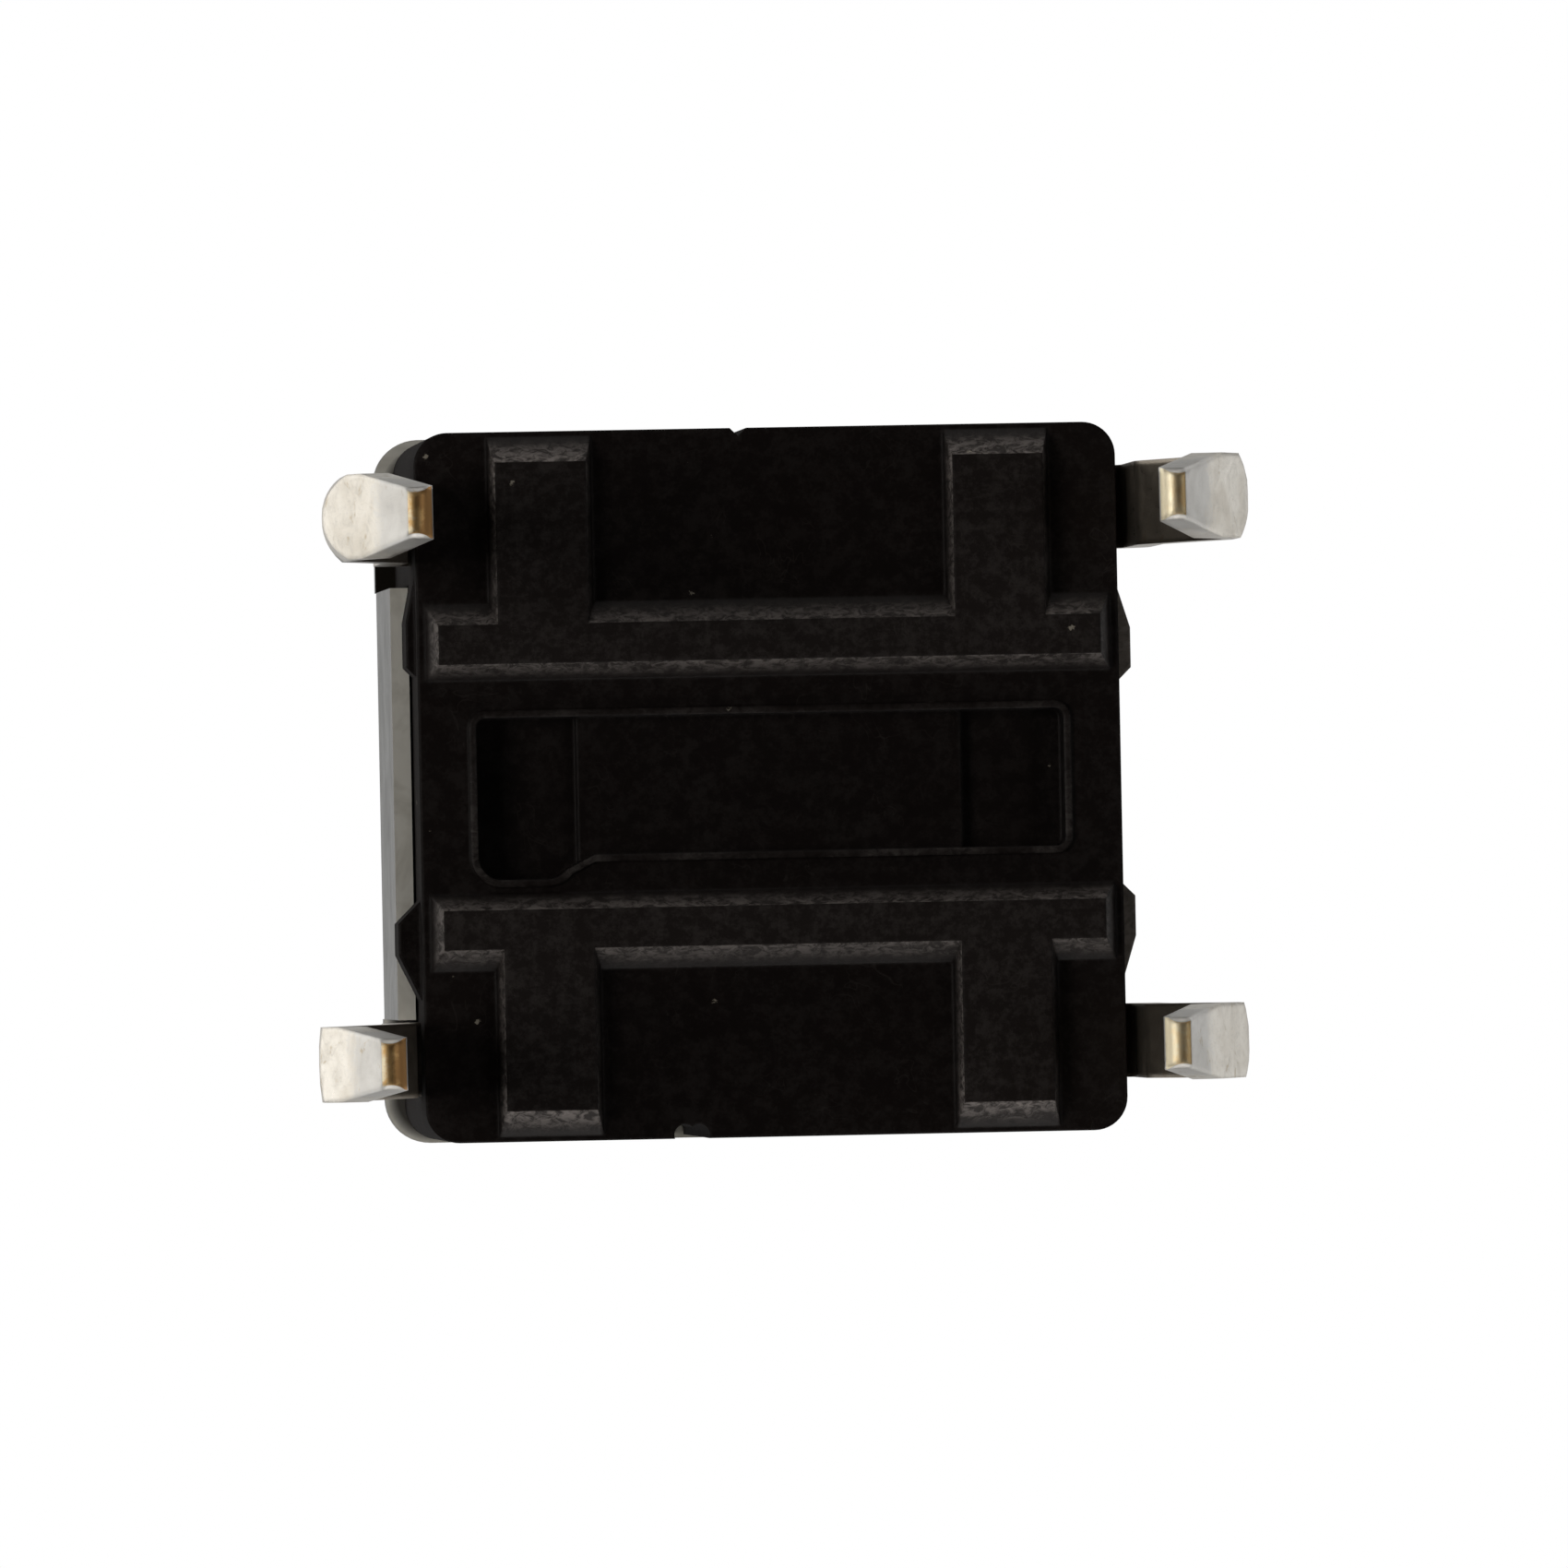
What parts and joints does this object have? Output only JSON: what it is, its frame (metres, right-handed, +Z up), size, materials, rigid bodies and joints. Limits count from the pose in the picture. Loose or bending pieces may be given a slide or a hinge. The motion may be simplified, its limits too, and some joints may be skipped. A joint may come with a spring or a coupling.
{
  "type": "tactile push button switch",
  "caption": "Square through-hole tactile switch: moulded base with railed underside, metal cover, round button and kinked snap-in leads.",
  "frame": {"origin": "centre of the lead pattern on the seating plane, which is the lowest face of the moulded base", "axes": "+Z up along the button, X across the base from one lead side to the other, Y along the lead rows' spacing; the leads reach below z = 0"},
  "size_m": [0.0078, 0.006, 0.0085],
  "materials": {
    "base_plastic": "moulded, fine spark-eroded grain",
    "cover_steel": "rolled sheet, dull",
    "button_plastic": "moulded, satin",
    "dome_steel": "rolled spring strip, bright",
    "tinned_brass": "dull tin plating, bare brass at the cut tips"
  },
  "bodies": {
    "housing": {"base": "base_plastic", "cover": "cover_steel", "contact_dome": "dome_steel", "centre_terminal": "tinned_brass", "rim_terminal": "tinned_brass"},
    "plunger": {"button": "button_plastic"}
  },
  "joints": [
    {"name": "press", "type": "slide", "parent": "housing", "child": "plunger", "axis": [0, 0, -1], "range_m": [0, 0.00025], "stiffness_N_per_m": 6400, "deforming": ["contact_dome"]}
  ]
}
